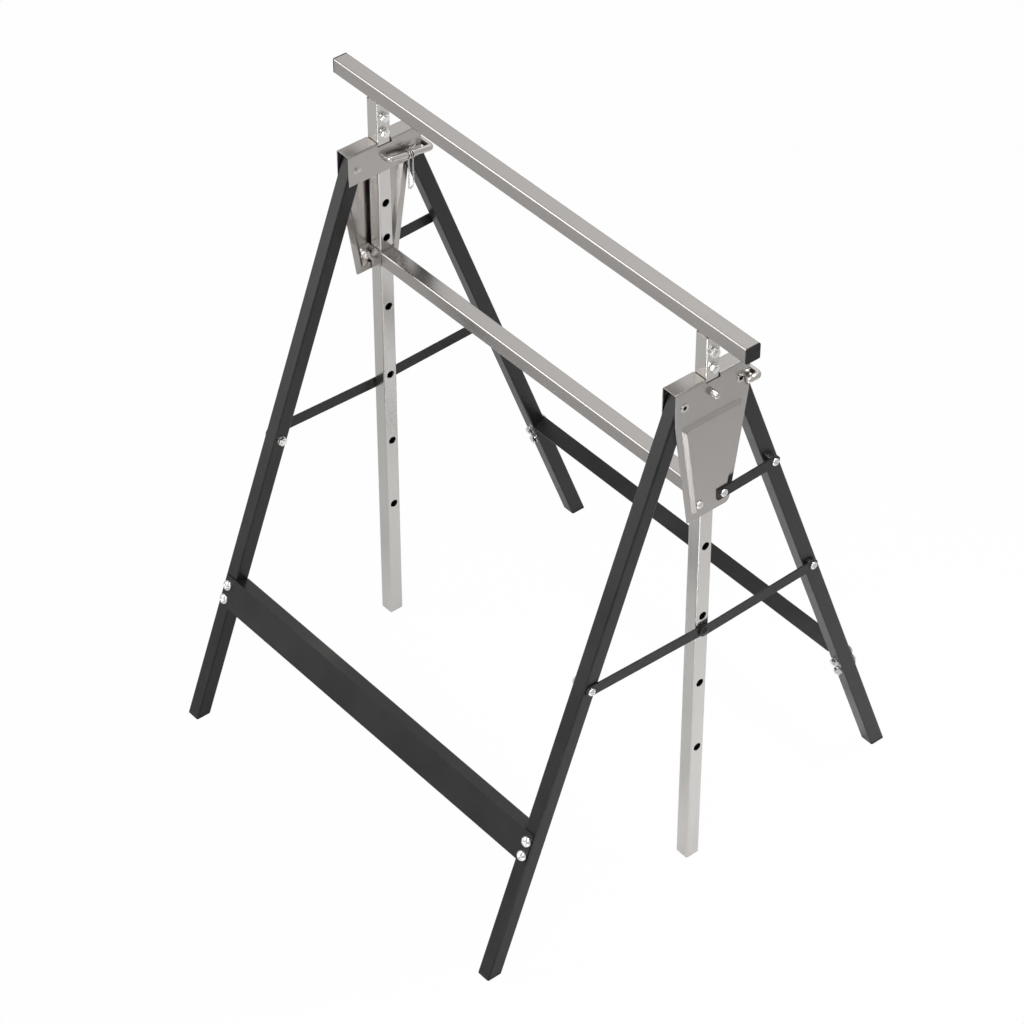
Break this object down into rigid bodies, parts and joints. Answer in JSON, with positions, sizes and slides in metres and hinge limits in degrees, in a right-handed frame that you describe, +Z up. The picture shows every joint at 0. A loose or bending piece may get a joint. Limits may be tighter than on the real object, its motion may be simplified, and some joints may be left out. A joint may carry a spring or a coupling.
{
  "type": "folding height adjustable builders trestle",
  "caption": "Folding steel builders trestle with a square top beam on telescopic posts, black splayed legs, cross boards and bent locking pins on chains.",
  "frame": {"origin": "centre of the bounding box's bottom face, on the floor midway between the four feet", "axes": "+X along the beam, +Y towards the fixed rear legs, +Z up"},
  "size_m": [0.7, 0.6252, 0.8],
  "materials": {
    "galvanised_steel": "brushed, warm grey",
    "post_steel": "bright zinc plate",
    "black_paint": "semi-gloss powder coat",
    "black_plastic": "matt",
    "bright_fasteners": "bright zinc",
    "pin_steel": "zinc plated rod"
  },
  "bodies": {
    "frame": {"head_right": "galvanised_steel", "head_left": "galvanised_steel", "leg_pivots": "galvanised_steel", "rail": "galvanised_steel", "rail_brackets": "galvanised_steel", "rail_bolts": "bright_fasteners", "rear_leg_right": "black_paint", "rear_leg_left": "black_paint", "rear_feet": "black_plastic", "rear_board": "black_paint", "rear_board_bolts": "bright_fasteners", "strut_right": "black_paint", "strut_left": "black_paint", "strut_rivets": "bright_fasteners", "spacers": "bright_fasteners", "rear_link_bolts": "bright_fasteners", "pin_chain_right": "pin_steel", "pin_chain_left": "pin_steel"},
    "front_legs": {"front_leg_right": "black_paint", "front_leg_left": "black_paint", "front_feet": "black_plastic", "front_board": "black_paint", "front_board_bolts": "bright_fasteners", "front_link_bolts": "bright_fasteners"},
    "lift": {"beam": "galvanised_steel", "beam_cap_right": "black_plastic", "beam_cap_left": "black_plastic", "beam_stubs": "galvanised_steel", "post_right": "post_steel", "post_left": "post_steel", "post_bolts": "bright_fasteners"},
    "pin_right": {"lock_pin_right": "pin_steel", "pin_rings_right": "pin_steel"},
    "pin_left": {"lock_pin_left": "pin_steel", "pin_rings_left": "pin_steel"},
    "front_link_right": {"front_link_right": "black_paint", "knee_stub_right": "black_paint"},
    "front_link_left": {"front_link_left": "black_paint", "knee_stub_left": "black_paint"},
    "rear_link_right": {"rear_link_right": "black_paint", "knee_rivet_right": "black_paint"},
    "rear_link_left": {"rear_link_left": "black_paint", "knee_rivet_left": "black_paint"}
  },
  "joints": [
    {"name": "lift_slide", "type": "slide", "parent": "frame", "child": "lift", "axis": [0, 0, 1], "range_m": [0, 0.5235]},
    {"name": "legs_fold", "type": "hinge", "parent": "frame", "child": "front_legs", "pos_m": [0, -0.04, 0.702], "axis": [1, 0, 0], "range_deg": [0, 20.5]},
    {"name": "pin_right_swing", "type": "hinge", "parent": "lift", "child": "pin_right", "pos_m": [0.2804, 0, 0.702], "axis": [1, 0, 0], "range_deg": [0, 75]},
    {"name": "front_link_right_turn", "type": "hinge", "parent": "front_legs", "child": "front_link_right", "pos_m": [0.2804, -0.16527, 0.367], "axis": [1, 0, 0], "range_deg": [-63.83, 0]},
    {"name": "rear_link_right_turn", "type": "hinge", "parent": "frame", "child": "rear_link_right", "pos_m": [0.2804, 0.16527, 0.367], "axis": [1, 0, 0], "range_deg": [0, 55.92]},
    {"name": "pin_left_swing", "type": "hinge", "parent": "lift", "child": "pin_left", "pos_m": [-0.2804, 0, 0.702], "axis": [1, 0, 0], "range_deg": [0, 75]},
    {"name": "front_link_left_turn", "type": "hinge", "parent": "front_legs", "child": "front_link_left", "pos_m": [-0.2804, -0.16527, 0.367], "axis": [1, 0, 0], "range_deg": [-63.83, 0]},
    {"name": "rear_link_left_turn", "type": "hinge", "parent": "frame", "child": "rear_link_left", "pos_m": [-0.2804, 0.16527, 0.367], "axis": [1, 0, 0], "range_deg": [0, 55.92]}
  ],
  "couplings": [
    {"joint": "front_link_right_turn", "follows": "legs_fold", "ratio": -3.1131},
    {"joint": "rear_link_right_turn", "follows": "legs_fold", "ratio": 2.7275},
    {"joint": "front_link_left_turn", "follows": "legs_fold", "ratio": -3.1131},
    {"joint": "rear_link_left_turn", "follows": "legs_fold", "ratio": 2.7275}
  ]
}
